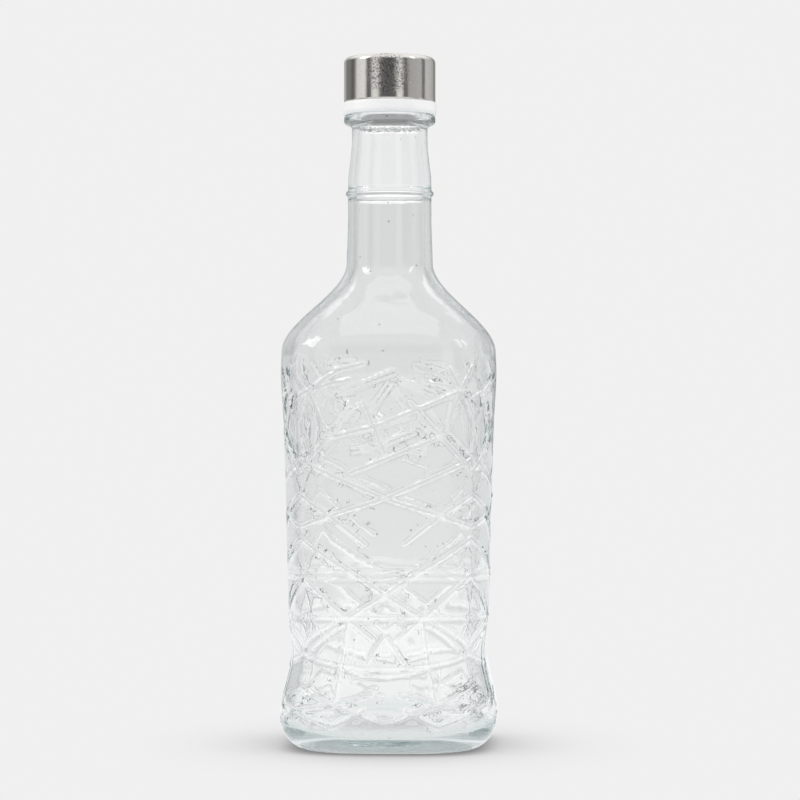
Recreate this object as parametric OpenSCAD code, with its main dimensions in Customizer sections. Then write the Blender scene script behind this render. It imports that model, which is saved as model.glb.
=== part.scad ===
// Glass oil bottle with a steel-clad screw cap, millimetres, +Z up.
// The origin is the middle of the base, on the surface that the bottle stands on.

/* [Body] */
// Width across the faces at the foot, its widest place
foot_w = 90; // [70:0.5:120]
// Width across the faces at the waist above the foot
waist_w = 80.4; // [60:0.5:110]
// Width across the faces at the rib above the waist
panel_low_w = 82.6; // [60:0.5:115]
// Width across the faces near the top of the panel
panel_high_w = 87; // [60:0.5:118]
// Width across the faces just under the shoulder
chest_w = 89.2; // [60:0.5:120]
// Height of the widest place of the foot
foot_z = 14; // [13.5:0.5:18]
// Height of the waist
waist_z = 40; // [30:0.5:45]
// Height of the lower rib
rib_z = 55; // [50:0.5:60]
// Height of the upper rib
upper_rib_z = 72.5; // [66:0.5:90]
// Height of the top of the panel
panel_high_z = 133; // [110:0.5:140]
// Height of the chest
chest_z = 156; // [150:0.5:160]
// Height where the shoulder starts to curve in
shoulder_z = 164; // [162:0.5:170]
// Height where the shoulder has run out into the neck
neck_z = 201; // [190:0.5:215]
// Squareness of the body's section: 2 is a circle, 10 nearly a square
squareness = 3.6; // [2.5:0.1:6]
// Squareness of the base, whose corners are rounder
base_squareness = 3.1; // [2:0.1:4]
// How far the heel curves in under the foot, on each side
heel_w = 10.5; // [6:0.5:12]
// Height of the heel's curve
heel_h = 13; // [8:0.5:13]
// How far each rib stands proud
rib_rise = 0.6; // [0.2:0.1:1.2]
// Width of each rib
rib_w = 2.6; // [1.5:0.1:4]

/* [Glass] */
// Wall of the body
wall = 3.4; // [2.5:0.1:5]
// Thickness of the floor at its edge
floor_t = 7; // [6:0.5:12]
// Radius inside, between the floor and the wall
inner_heel_r = 7; // [3:0.5:10]
// Depth of the hollow under the base
punt_h = 3; // [1:0.5:4]
// Width of the flat band that the bottle stands on
stand_w = 4; // [2:0.5:8]

/* [Neck] */
// Diameter of the neck where it leaves the shoulder
neck_d = 36; // [32:0.5:44]
// Diameter of the neck at the ring
mid_neck_d = 34.9; // [32:0.1:42]
// Diameter of the neck under the bead, its narrowest
top_neck_d = 31.6; // [30:0.1:34]
// Diameter of the ring round the neck
ring_d = 36.8; // [36:0.1:46]
// Height of the ring's middle above the base
ring_z = 230; // [225:0.5:235]
// Thickness of the ring
ring_t = 2.6; // [1.5:0.1:4]
// Diameter of the bore through the mouth
bore_d = 26; // [18:0.5:27]
// Diameter of the bore in the neck below the mouth
neck_bore_d = 29; // [27:0.5:31]

/* [Finish] */
// Height of the underside of the bead, below the cap
bead_z = 259; // [255:0.5:268]
// Thickness of the bead
bead_t = 3.5; // [2:0.1:5]
// Diameter of the bead
bead_d = 38.2; // [36:0.1:44]
// Height of the threaded mouth above the bead
finish_h = 21.9; // [20:0.1:30]
// Diameter of the mouth between the threads
root_d = 31.6; // [30:0.1:34]
// Depth of the glass thread
thread_h = 1.2; // [0.8:0.1:1.6]
// Rise of the thread in one turn
pitch = 4; // [3.5:0.1:6]
// Turns of thread on the glass
glass_turns = 1.5; // [1:0.25:2]
// Turns of thread in the cap
cap_turns = 1.25; // [0.75:0.25:1.75]

/* [Cap] */
// Thickness of the sealing disc
liner_t = 1; // [0.5:0.1:2]
// Thickness of the insert's top
insert_top = 1.2; // [0.8:0.1:2.5]
// Wall of the insert around its bore
insert_wall = 1.4; // [1:0.1:3]
// Height of the white ring that shows below the steel
collar_h = 5.2; // [3:0.1:8]
// How far the white ring stands out past the steel
collar_proud = 0.4; // [0.2:0.1:2]
// Thickness of the steel sheet
steel_t = 0.4; // [0.3:0.05:0.8]
// Outer radius of the steel's top edge
steel_edge_r = 2.4; // [1:0.1:4]

/* [Fits] */
// Gap around the thread crests
thread_gap = 0.3; // [0.2:0.05:0.5]
// Gap on the flank that pulls the cap down
flank_gap = 0.3; // [0.1:0.05:0.5]
// Gap between the cap's lower edge and the bead
bead_gap = 0.3; // [0.2:0.05:1]
// Gap between the steel and the insert
shell_gap = 0.05; // [0.02:0.01:0.2]
// Gap around the sealing disc
liner_gap = 0.4; // [0.1:0.1:1]

/* [Hidden] */
$fn = 96;
glass_tint = [0.82, 0.92, 0.91, 0.55];
cols = 72; // columns of the body's outer skin
inner_cols = 48; // columns of its inner skin
overlap = 0.6; // how deep joined solids run into each other, and how far cuts run past a face
shoulder_drop = 0.35 * wall;
edge = 0.5; // small broken edges
full_turn = 360;
// the neck's profile, as lengths along it
ring_taper = 12; // from the shoulder's taper to the ring's middle
ring_land = 6; // the straight length above the ring's middle
ring_sink = 0.2; // how far inside the neck the ring's arc is centred
ring_sweep = 60; // half the angle of that arc
top_land = 8; // the straight length under the bead
bead_fillet = [1, 2]; // how far the bead's fillet runs out and down
arc_steps = 6;
thread_steps = 24; // steps in one turn of a thread
// heights of the glass mouth
bead_top = bead_z + bead_t;
land_z = bead_top + finish_h;
// the cap, from the seal upwards
liner_top = land_z + liner_t;
insert_z = liner_top + insert_top;
top_z = insert_z + steel_t;
cap_z = bead_top + bead_gap;
collar_top = cap_z + collar_h;
// radii, from the thread outwards
root_r = root_d / 2;
crest_r = root_r + thread_h;
insert_bore_r = crest_r + thread_gap;
insert_crest_r = root_r + thread_gap + chord_loss(insert_bore_r);
insert_r = insert_bore_r + insert_wall;
steel_in_r = insert_r + shell_gap;
steel_r = steel_in_r + steel_t;
collar_r = steel_r + collar_proud;
// the thread's form
thread_crest_w = 0.2 * pitch;
thread_root_w = 0.5 * pitch;
run_out = 40; // degrees over which a thread fades in and out
punt_edge = 0.7; // depth of the base's hollow near its edge, as a share of its middle
thread_top = land_z - 0.75 * pitch;
glass_thread_z = thread_top - glass_turns * pitch;
cap_thread_drop = (thread_root_w + thread_crest_w) / 2 + flank_gap;
cap_lead = 0.1; // turns by which the cap's thread starts past the glass's

function chord_loss(r) = r * (1 - cos(180 / thread_steps));
function mix(a, b, t) = a + (b - a) * t;
function smooth(t) = t * t * (3 - 2 * t);
function clamp01(t) = min(1, max(0, t));

// Height and half width of the places that the body's side curve runs through
side = [
    [foot_z, foot_w / 2],
    [waist_z, waist_w / 2],
    [rib_z, panel_low_w / 2],
    [panel_high_z, panel_high_w / 2],
    [chest_z, chest_w / 2],
    [shoulder_z, chest_w / 2 - 0.3],
];
last = len(side) - 1;

// Slope of the side curve at place i: level at the widest and narrowest places
function chord(i) = (side[i + 1][1] - side[i][1]) / (side[i + 1][0] - side[i][0]);
function slope(i) =
    i == 0 || i == last ? 0
    : chord(i - 1) * chord(i) <= 0 ? 0
    : 2 * chord(i - 1) * chord(i) / (chord(i - 1) + chord(i));
function hermite(i, z) =
    let (
        dz = side[i + 1][0] - side[i][0],
        t = (z - side[i][0]) / dz,
        s = smooth(t)
    )
    mix(side[i][1], side[i + 1][1], s)
    + dz * t * (1 - t) * (slope(i) * (1 - t) - slope(i + 1) * t);
function span(z, i = 0) = i >= last - 1 || z < side[i + 1][0] ? i : span(z, i + 1);

function rib(z, at) = rib_rise * smooth(clamp01(1 - abs(z - at) / (rib_w / 2)));
function heel(z) = heel_w * (1 - sqrt(max(0, 1 - pow(max(0, 1 - z / heel_h), 2))));

// Half width of the outer skin, without ribs
function half_w(z) =
    z < foot_z ? foot_w / 2 - heel(z)
    : z < shoulder_z ? hermite(span(z), z)
    : mix(side[last][1], neck_d / 2, smooth(clamp01((z - shoulder_z) / (neck_z - shoulder_z))));
function section(z) =
    z < foot_z ? mix(base_squareness, squareness, smooth(clamp01(z / foot_z)))
    : mix(squareness, 2, smooth(clamp01((z - shoulder_z) / (neck_z - shoulder_z))));

// One ring of a skin: a rounded square of half width h at height z
function skin_ring(h, n, z, count) = [
    for (i = [0:count - 1])
        let (
            a = full_turn * i / count,
            r = h / pow(pow(abs(cos(a)), n) + pow(abs(sin(a)), n), 1 / n)
        )
        [r * cos(a), r * sin(a), z]
];

// A closed solid through rings of count points each, lowest first
module loft(rings, count) {
    n = len(rings);
    polyhedron(
        points = [for (r = rings) each r],
        faces = [
            [for (i = [0:count - 1]) i],
            [for (i = [count - 1:-1:0]) (n - 1) * count + i],
            for (k = [0:n - 2], i = [0:count - 1])
                let (j = (i + 1) % count, a = k * count, b = a + count)
                each [[a + i, b + i, b + j], [a + i, b + j, a + j]]
        ]
    );
}

// A helical ridge: base_r is inside the part that carries it, tip_r is its crest
module thread_ridge(z0, turns, base_r, wall_r, tip_r) {
    steps = ceil(turns * thread_steps);
    root_half = thread_root_w / 2;
    tip_half = thread_crest_w / 2;
    rings = [
        for (i = [0:steps])
            let (
                a = full_turn * turns * i / steps,
                z = z0 + pitch * a / full_turn,
                fade = smooth(clamp01(min(a, full_turn * turns - a) / run_out)),
                r = mix(mix(base_r, wall_r, 0.6), tip_r, fade),
                half = mix(root_half, tip_half, fade)
            )
            [
                for (p = [[base_r, -root_half], [r, -half], [r, half], [base_r, root_half]])
                    [p[0] * cos(a), p[0] * sin(a), z + p[1]]
            ]
    ];
    inwards = tip_r < base_r;
    first = [0, 1, 2, 3];
    end = [for (i = [3:-1:0]) steps * 4 + i];
    sides = [
        for (k = [0:steps - 1], i = [0:3])
            let (j = (i + 1) % 4, a = k * 4, b = a + 4)
            each [[a + i, b + i, b + j], [a + i, b + j, a + j]]
    ];
    faces = [first, end, each sides];
    polyhedron(
        points = [for (r = rings) each r],
        faces = inwards ? faces : [for (f = faces) [for (i = [len(f) - 1:-1:0]) f[i]]]
    );
}

// Points of an arc, from angle a0 to a1
function arc(c, r, a0, a1) = [
    for (i = [0:arc_steps])
        let (a = mix(a0, a1, i / arc_steps))
        [c[0] + r * cos(a), c[1] + r * sin(a)]
];

heel_levels = [for (a = [0:15:75]) heel_h * (1 - cos(a))];
rib_levels = [
    for (at = [rib_z, upper_rib_z])
        each [for (k = [-1, -0.5, 0, 0.5, 1]) at + k * rib_w / 2]
];
outer_levels = [
    each heel_levels,
    heel_h,
    foot_z,
    each [for (t = [0.2:0.2:1]) mix(foot_z, waist_z, t)],
    mix(waist_z, rib_z - rib_w / 2, 0.5),
    each rib_levels,
    each [for (t = [0.33, 0.66, 1]) mix(upper_rib_z, panel_high_z, t)],
    mix(panel_high_z, chest_z, 0.5),
    chest_z,
    each [for (t = [0:0.1:1]) mix(shoulder_z, neck_z, t)],
];
inner_levels = [
    each [for (t = [0.2:0.2:1]) mix(floor_t + inner_heel_r, waist_z, t)],
    rib_z,
    panel_high_z,
    chest_z,
    each [for (t = [0:0.125:1]) mix(shoulder_z - shoulder_drop, neck_z - shoulder_drop, t)],
    neck_z + overlap,
];

// Half width of the inner skin; its shoulder lies lower by shoulder_drop to keep the slanted wall's thickness
function inner_half(z) =
    z < shoulder_z - shoulder_drop ? half_w(z) - wall
    : mix(side[last][1] - wall, neck_bore_d / 2,
        smooth(clamp01((z + shoulder_drop - shoulder_z) / (neck_z - shoulder_z))));

module outer_skin() {
    loft([
        for (z = outer_levels)
            skin_ring(half_w(z) + rib(z, rib_z) + rib(z, upper_rib_z), section(z), z, cols)
    ], cols);
}

module inner_skin() {
    heel_rings = [
        for (a = [0:18:90])
            let (z = floor_t + inner_heel_r * (1 - cos(a)))
            skin_ring(foot_w / 2 - wall - inner_heel_r * (1 - sin(a)), section(z), z, inner_cols)
    ];
    wall_rings = [for (z = inner_levels) skin_ring(inner_half(z), section(z), z, inner_cols)];
    loft([each heel_rings, each wall_rings], inner_cols);
}

// The bore through the neck, which narrows as the neck does towards the mouth
module neck_bore() {
    rotate_extrude()
        polygon([
            [0, neck_z - overlap],
            [neck_bore_d / 2, neck_z - overlap],
            [neck_bore_d / 2, ring_z + ring_land],
            [bore_d / 2, bead_z - top_land],
            [bore_d / 2, land_z + overlap],
            [0, land_z + overlap],
        ]);
}

// The lower length of the one glass moulding: foot, body and shoulder
module glass_body() {
    color(glass_tint)
        difference() {
            outer_skin();
            inner_skin();
            punt();
        }
}

// The neck's outside, with its ring and bead, as far as the mouth
module neck_outside() {
    mid_r = mid_neck_d / 2;
    top_r = top_neck_d / 2;
    rotate_extrude()
        polygon([
            [0, neck_z],
            [neck_d / 2, neck_z],
            [mid_r, ring_z - ring_taper],
            [mid_r, ring_z - ring_t / 2],
            each arc([mid_r - ring_sink, ring_z], ring_d / 2 - mid_r + ring_sink, -ring_sweep, ring_sweep),
            [mid_r, ring_z + ring_t / 2],
            [mid_r, ring_z + ring_land],
            [top_r, bead_z - top_land],
            [top_r, bead_z - bead_fillet[1]],
            [top_r + bead_fillet[0], bead_z],
            [bead_d / 2 - edge, bead_z],
            [bead_d / 2, bead_z + edge],
            [bead_d / 2, bead_top - edge],
            [bead_d / 2 - edge, bead_top],
            [root_r, bead_top],
            [root_r, land_z - edge],
            [root_r - edge, land_z],
            [0, land_z],
        ]);
}

// The upper length of the same moulding: neck, ring, bead and threaded mouth
module glass_neck() {
    color(glass_tint)
        difference() {
            union() {
                neck_outside();
                thread_ridge(glass_thread_z, glass_turns, root_r - overlap, root_r, crest_r);
            }
            neck_bore();
        }
}

// The hollow under the base
module punt() {
    r = foot_w / 2 - heel_w - stand_w;
    rotate_extrude()
        polygon([[0, -overlap], [r, -overlap], [r, 0], [r - punt_h, punt_edge * punt_h], [0, punt_h]]);
}

// The white threaded insert, with the collar that shows below the steel
module cap_insert() {
    shoulder_r = max(0.4, steel_edge_r - steel_t);
    thread_z = glass_thread_z + cap_lead * pitch - cap_thread_drop;
    color("white")
        union() {
            rotate_extrude()
                polygon([
                    [insert_bore_r + edge, cap_z],
                    each arc([collar_r - edge, cap_z + edge], edge, -90, 0),
                    each arc([collar_r - edge, collar_top - edge], edge, 0, 90),
                    [insert_r, collar_top],
                    each arc([insert_r - shoulder_r, insert_z - shoulder_r], shoulder_r, 0, 90),
                    [0, insert_z],
                    [0, liner_top],
                    [insert_bore_r, liner_top],
                    [insert_bore_r, cap_z + edge],
                ]);
            rotate([0, 0, full_turn * cap_lead])
                thread_ridge(thread_z, cap_turns, insert_bore_r + overlap, insert_bore_r, insert_crest_r);
        }
}

// The soft disc that seals the mouth
module cap_liner() {
    color("whitesmoke")
        translate([0, 0, land_z])
            cylinder(r = insert_bore_r - liner_gap, h = liner_t);
}

// The drawn steel cup over the insert
module cap_shell() {
    in_edge_r = max(0.4, steel_edge_r - steel_t);
    color("silver")
        rotate_extrude()
            polygon([
                [steel_in_r, collar_top],
                [steel_r, collar_top],
                each arc([steel_r - steel_edge_r, top_z - steel_edge_r], steel_edge_r, 0, 90),
                [0, top_z],
                [0, insert_z],
                each arc([steel_in_r - in_edge_r, insert_z - in_edge_r], in_edge_r, 90, 0),
            ]);
}

glass_body();
glass_neck();
cap_insert();
cap_liner();
cap_shell();
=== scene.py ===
# %% [markdown]
# # A pressed-glass oil bottle
# The imported construction model comes in first and stays as it is. Every new piece is built around it, in
# metres, in the same frame: +Z runs up the neck and the front face looks along -Y.

# %% Load the frame
import math

import bmesh
import bpy
import numpy as np
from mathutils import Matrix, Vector


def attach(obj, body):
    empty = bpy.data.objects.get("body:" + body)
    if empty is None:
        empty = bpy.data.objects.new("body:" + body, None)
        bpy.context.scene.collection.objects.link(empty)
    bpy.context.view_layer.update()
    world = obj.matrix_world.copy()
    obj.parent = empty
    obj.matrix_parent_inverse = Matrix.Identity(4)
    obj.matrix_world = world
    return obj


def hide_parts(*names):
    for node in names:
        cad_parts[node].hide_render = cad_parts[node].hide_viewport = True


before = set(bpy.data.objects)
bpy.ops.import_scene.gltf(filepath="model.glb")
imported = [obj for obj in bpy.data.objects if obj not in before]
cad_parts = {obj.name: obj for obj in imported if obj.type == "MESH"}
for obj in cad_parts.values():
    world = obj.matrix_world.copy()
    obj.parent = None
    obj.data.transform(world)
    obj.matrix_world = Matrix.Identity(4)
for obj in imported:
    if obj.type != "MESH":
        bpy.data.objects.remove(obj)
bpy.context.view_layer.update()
mm = 0.001

# %% [markdown]
# ## Soft steps
# A glass mould has no sharp turns, so every change of width runs through the same soft step. The functions
# take numpy arrays as well as numbers, because one call will later shape over ninety thousand points.


# %% Soft steps
def mix(a, b, t):
    return a + (b - a) * t


def soft(t):
    t = np.clip(t, 0.0, 1.0)
    return t * t * (3 - 2 * t)


def ridge(distance, half_width):
    """1 on a line, falling softly to 0 at half_width from it."""
    return soft(1 - np.abs(distance) / half_width)


print("halfway up a soft step:", float(soft(0.5)))

# %% [markdown]
# ## The body's outline
# The side of the body is one curve through a few places: foot, waist, rib, panel and chest. A monotone
# cubic runs through them as the mould maker's spline does, and never overshoots between two places. Below
# the foot the heel is a quarter of an ellipse. Above the chest the shoulder is one soft step in to the
# neck.

# %% Sizes of the body
FOOT_HALF = 45.0 * mm
HEEL_W, HEEL_H = 10.5 * mm, 13.0 * mm
SHOULDER_Z, NECK_Z, NECK_R = 164.0 * mm, 201.0 * mm, 18.0 * mm
WALL, FLOOR = 3.4 * mm, 7.0 * mm
BORE_R, NECK_BORE_R = 13.0 * mm, 14.5 * mm
SIDE = [
    (14.0 * mm, FOOT_HALF),
    (40.0 * mm, 40.2 * mm),
    (55.0 * mm, 41.3 * mm),
    (133.0 * mm, 43.5 * mm),
    (156.0 * mm, 44.6 * mm),
    (SHOULDER_Z, 44.3 * mm),
]


def chord(i):
    return (SIDE[i + 1][1] - SIDE[i][1]) / (SIDE[i + 1][0] - SIDE[i][0])


def slope(i):
    if i in (0, len(SIDE) - 1) or chord(i - 1) * chord(i) <= 0:
        return 0.0
    return 2 * chord(i - 1) * chord(i) / (chord(i - 1) + chord(i))


def half_width(z):
    """Half the width across the faces at height z."""
    if z < SIDE[0][0]:
        t = max(0.0, 1 - z / HEEL_H)
        return FOOT_HALF - HEEL_W * (1 - math.sqrt(1 - t * t))
    if z >= SHOULDER_Z:
        return mix(SIDE[-1][1], NECK_R, float(soft((z - SHOULDER_Z) / (NECK_Z - SHOULDER_Z))))
    i = max(k for k in range(len(SIDE) - 1) if SIDE[k][0] <= z)
    dz = SIDE[i + 1][0] - SIDE[i][0]
    t = (z - SIDE[i][0]) / dz
    bend = dz * t * (1 - t) * (slope(i) * (1 - t) - slope(i + 1) * t)
    return mix(SIDE[i][1], SIDE[i + 1][1], float(soft(t))) + bend


def inner_half_width(z):
    drop = 0.35 * WALL
    if z < SHOULDER_Z - drop:
        return half_width(z) - WALL
    narrowing = float(soft((z + drop - SHOULDER_Z) / (NECK_Z - SHOULDER_Z)))
    return mix(SIDE[-1][1] - WALL, NECK_BORE_R, narrowing)


print("half width at the waist and the chest, mm:", half_width(40 * mm) / mm, half_width(156 * mm) / mm)

# %% [markdown]
# ## The section
# Across, the body is a rounded square: a superellipse, rounder at the base, and turning into the neck's
# circle over the shoulder. `along_face` unrolls one face of it, because the pattern is drawn on a flat
# face, and `turn_of` is the way back from the flat face to an angle.

# %% Rounded square
CORNER = 37.2  # millimetres along the face, from its middle to the corner
REFERENCE_HALF, SQUARENESS, BASE_SQUARENESS = 42.6, 3.6, 3.1


def squareness(z):
    low = mix(BASE_SQUARENESS, SQUARENESS, soft(z / SIDE[0][0]))
    return mix(low, 2.0, soft((z - SHOULDER_Z) / (NECK_Z - SHOULDER_Z)))


def roundness(angle, z):
    """Radius at an angle, as a multiple of the half width."""
    n = squareness(z)
    return (np.abs(np.cos(angle)) ** n + np.abs(np.sin(angle)) ** n) ** (-1 / n)


turns = np.linspace(0, math.pi / 4, 400)
reach = REFERENCE_HALF * roundness(turns, 60 * mm)
steps_along = np.hypot(np.diff(reach * np.sin(turns)), np.diff(reach * np.cos(turns)))
runs = np.concatenate([[0], np.cumsum(steps_along)])
runs *= CORNER / runs[-1]


def turn_of(across):
    return np.sign(across) * np.interp(np.abs(across), runs, turns)


print("angle at 20 mm from the middle of a face:", round(math.degrees(float(turn_of(20.0))), 1))

# %% [markdown]
# ## The cut pattern
# Pressed glass copies the star cuts of hand-cut crystal: V grooves that cross in stars, with ribs and arcs
# between them. Every line is given in millimetres on the flat face, across from its middle and up from the
# base, and many of them are mirrored. The short strokes in the crown are broad cuts with a flat bottom, so
# each one is drawn as the two fine lines of its edges. The same motif is on each of the four faces.

# %% Pattern lines
MIRRORED_CUTS = [
    # crown, under the shoulder
    [(31, 147.5), (22.5, 129), (37.2, 114.5)],
    # the large cross
    [(36, 119.5), (0, 104), (23, 97), (37.2, 92.3)],
    [(37.2, 105.5), (23, 97), (8, 85.5)],
    # stars above the waist
    [(37.2, 87.8), (25, 80.5), (12, 72.8), (0, 65), (-16, 55.5), (-23, 61)],
    [(37.2, 73), (16, 55.5), (5.3, 46.7)],
    [(0, 48.5), (8, 37.5)],
    [(0, 50.5), (3.5, 53.5)],
    # foot
    [(16.5, 53.5), (19.5, 35.5), (20.5, 21)],
    [(5.3, 25), (21, 21), (37.2, 27.5)],
    [(37.2, 17.8), (21, 21), (5, 14.2)],
    [(35, 17), (20.5, 11.5), (8, 18.5)],
]
SINGLE_CUTS = [
    [(-31, 147.5), (-21.5, 150.5), (-13.5, 152)],
    [(-31, 147.5), (-19, 155.5), (-8.5, 158.5)],
    [(-31, 147.5), (-37.2, 145)],
    [(-21, 129), (-3, 133.5), (13, 140), (30.5, 147.5)],
    [(30.5, 147.5), (25.5, 156.5)],
    [(30.5, 147.5), (35.5, 157.5)],
    [(23, 129), (-14, 114.5)],
    [(23, 129), (10, 143)],
    [(-8.5, 143), (0, 122.5)],
]
STROKES = [
    ((-18.7, 146.4), (4.0, 155.0)),
    ((-5.8, 139.2), (2.0, 150.4)),
    ((-22.0, 131.0), (-12.8, 141.0)),
    ((0.9, 134.7), (8.5, 137.0)),
    ((-2.4, 125.2), (11.8, 130.8)),
    ((12.9, 135.5), (18.3, 131.3)),
    ((-13.3, 123.3), (-6.8, 124.0)),
    ((9.6, 123.9), (16.2, 122.9)),
    ((-23.0, 157.6), (-11.2, 159.3)),
]
STROKE_GAP = 2.1  # between the two edges of a stroke
MIRRORED_ARCS = [
    [(16, 55.5), (22, 52.8), (27.5, 49.8), (32, 47), (35, 45), (37.2, 42)],
    [(17.5, 52.3), (22.5, 49.5), (27, 46.3), (32, 42)],
    [(37.2, 40), (29, 37.7), (20, 36), (10, 34.8), (0, 34.5)],
    [(20, 35.5), (10, 32.6), (0, 31.5)],
]
LEAVES = [
    [(-31, 147.5), (-36, 153.5), (-36, 160)],
    [(-31, 147.5), (-25, 153), (-29, 159)],
    [(-31.5, 146), (-36, 133.5), (-34, 120.5)],
    [(-31.5, 146), (-27, 133.5), (-29, 121)],
    [(26, 142.5), (25, 131.5), (35, 121.5)],
    [(32, 144.5), (36.5, 134.5), (36, 121.5)],
]
RIBS = [55.0, 71.2, 73.8]
BUTTON = (0.0, 104.0)


def mirrored(lines):
    return lines + [[(-across, up) for across, up in line] for line in lines]


def doubled(stroke):
    """Two fine lines side by side, which are the edges of a flat-bottomed cut."""
    (x0, y0), (x1, y1) = stroke
    aside = 0.5 * STROKE_GAP / math.hypot(x1 - x0, y1 - y0)
    dx, dy = -(y1 - y0) * aside, (x1 - x0) * aside
    return [[(x0 + k * dx, y0 + k * dy), (x1 + k * dx, y1 + k * dy)] for k in (-1, 1)]


STARS = [(31, 147.5), (22.5, 129), (0, 104), (23, 97), (0, 65), (16, 55.5), (21, 21), (0, 49.5)]
STARS += [(-across, up) for across, up in STARS]
CUTS = mirrored(MIRRORED_CUTS) + SINGLE_CUTS
RAISED = mirrored(MIRRORED_ARCS) + LEAVES
FINE_CUTS = [line for stroke in STROKES for line in doubled(stroke)]
print("cuts:", len(CUTS), "fine cuts:", len(FINE_CUTS), "arcs and leaves:", len(RAISED))

# %% [markdown]
# ## Where the grid's points go
# The skin is a grid of rows and columns, and a groove that runs aslant through a grid looks like a saw. So
# the grid is first pulled onto the pattern: at each place where a cut crosses a grid line, the nearest
# point slides along that line until it lies on the cut. The corners of the cuts come first. All four faces
# share the result.

# %% Pull the grid onto the cuts
COLUMNS = 256  # all round the bottle
SIDE_COLUMNS = COLUMNS // 8  # from the middle of a face to its corner
COLUMN, ROW = CORNER / SIDE_COLUMNS, 0.95
LOW, TOP = 9.5, 161.0  # the rows between these heights carry the pattern
CROWDED = 0.35 * ROW  # two pulled points never come closer than this
rows_up = np.arange(LOW, TOP, ROW)
columns_across = np.linspace(-CORNER, CORNER, 2 * SIDE_COLUMNS + 1)
grid_across, grid_up = np.meshgrid(columns_across, rows_up, indexing="ij")
on_cut = np.zeros(grid_across.shape, dtype=int)


def claim(across, up, number):
    """Moves the nearest free point of the grid to a place on cut `number`."""
    i = int(round((across + CORNER) / COLUMN))
    j = int(round((up - LOW) / ROW))
    inside = 0 <= i < grid_across.shape[0] and 0 < j < grid_across.shape[1] - 1
    if not inside or on_cut[i, j]:
        return
    near = (slice(max(i - 1, 0), i + 2), slice(j - 1, j + 2))
    gap = np.hypot(grid_across[near] - across, grid_up[near] - up)[on_cut[near] > 0]
    if gap.size and gap.min() < CROWDED:
        return
    grid_across[i, j] = across if 0 < i < 2 * SIDE_COLUMNS else grid_across[i, j]
    grid_up[i, j] = up
    on_cut[i, j] = number


def claim_along(line, number):
    for (x0, y0), (x1, y1) in zip(line, line[1:]):
        if abs(x1 - x0) / COLUMN >= abs(y1 - y0) / ROW:
            low, high = sorted((x0, x1))
            for k in range(math.ceil((low + CORNER) / COLUMN), int((high + CORNER) / COLUMN) + 1):
                x = k * COLUMN - CORNER
                claim(x, mix(y0, y1, (x - x0) / (x1 - x0)), number)
        else:
            low, high = sorted((y0, y1))
            for k in range(math.ceil((low - LOW) / ROW), int((high - LOW) / ROW) + 1):
                y = LOW + k * ROW
                claim(mix(x0, x1, (y - y0) / (y1 - y0)), y, number)


rib_lines = [[(-CORNER, height), (CORNER, height)] for height in RIBS]
pulled = CUTS + rib_lines + FINE_CUTS + RAISED
for number, line in enumerate(pulled, start=1):
    for place in line:
        claim(*place, number)
for number, line in enumerate(pulled, start=1):
    claim_along(line, number)
print("points on the lines of one face:", int((on_cut > 0).sum()), "of", on_cut.size)

# %% [markdown]
# ## Height of the relief
# The height of the skin at any place on the face follows from the distances to the lines. A cut is a blend
# of a rounded groove and a V: its edges are soft, as after many pressings, and its bottom stays crisp. The
# fine lines of the strokes are plain shallow Vs. Arcs, leaves and ribs are low rounded ridges, which a cut
# runs through. The same distances later tell the colour of the glass where the lines are.

# %% Relief of one face
CUT_DEPTH, CUT_HALF, CUT_ROUNDNESS = 0.56, 1.45, 0.6
FINE_DEPTH, FINE_HALF = 0.40, 1.0
FINE_PAINT = 0.5  # a fine line's colour is narrower by this distance
RAISED_HEIGHT, RAISED_HALF = 0.36, 1.4
RIB_HEIGHT = 0.42
BUTTON_HEIGHT, BUTTON_R = 0.45, 1.7


def distance_to(lines, across, up):
    """Distance from each place to the nearest of some lines, on this face and round both corners."""
    best = np.full(across.shape, 1e3)
    for line in lines:
        for (x0, y0), (x1, y1) in zip(line, line[1:]):
            dx, dy = x1 - x0, y1 - y0
            for shift in (-2 * CORNER, 0.0, 2 * CORNER):
                if shift and max(abs(x0), abs(x1)) < CORNER - 4:
                    continue
                x, y = across - x0 - shift, up - y0
                t = np.clip((x * dx + y * dy) / (dx * dx + dy * dy), 0, 1)
                best = np.minimum(best, np.hypot(x - t * dx, y - t * dy))
    return best


def groove(distance, half_width):
    """A plain V: 1 on a line, falling evenly to 0 at half_width from it."""
    return np.clip(1 - distance / half_width, 0, 1)


def relief(across, up):
    to_cut = distance_to(CUTS, across, up)
    to_fine = distance_to(FINE_CUTS, across, up)
    cut = CUT_DEPTH * mix(groove(to_cut, CUT_HALF), ridge(to_cut, CUT_HALF), CUT_ROUNDNESS)
    cut = np.maximum(cut, FINE_DEPTH * groove(to_fine, FINE_HALF))
    to_raised = distance_to(RAISED, across, up)
    to_rib = np.min([np.abs(up - height) for height in RIBS], axis=0)
    rise = RAISED_HEIGHT * ridge(to_raised, RAISED_HALF)
    rise = np.maximum(rise, RIB_HEIGHT * ridge(to_rib, RAISED_HALF))
    button = ridge(np.hypot(across - BUTTON[0], up - BUTTON[1]), BUTTON_R)
    height = rise * (1 - soft(2 * cut / CUT_DEPTH)) - cut * (1 - button) + BUTTON_HEIGHT * button
    to_star = np.min([np.hypot(across - x, up - y) for x, y in STARS], axis=0)
    return height, np.minimum(to_cut, to_fine + FINE_PAINT), np.minimum(to_raised, to_rib), to_star


face_relief, *face_distances = relief(grid_across, grid_up)
print("relief from", round(float(face_relief.min()), 2), "to", round(float(face_relief.max()), 2), "mm")

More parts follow.
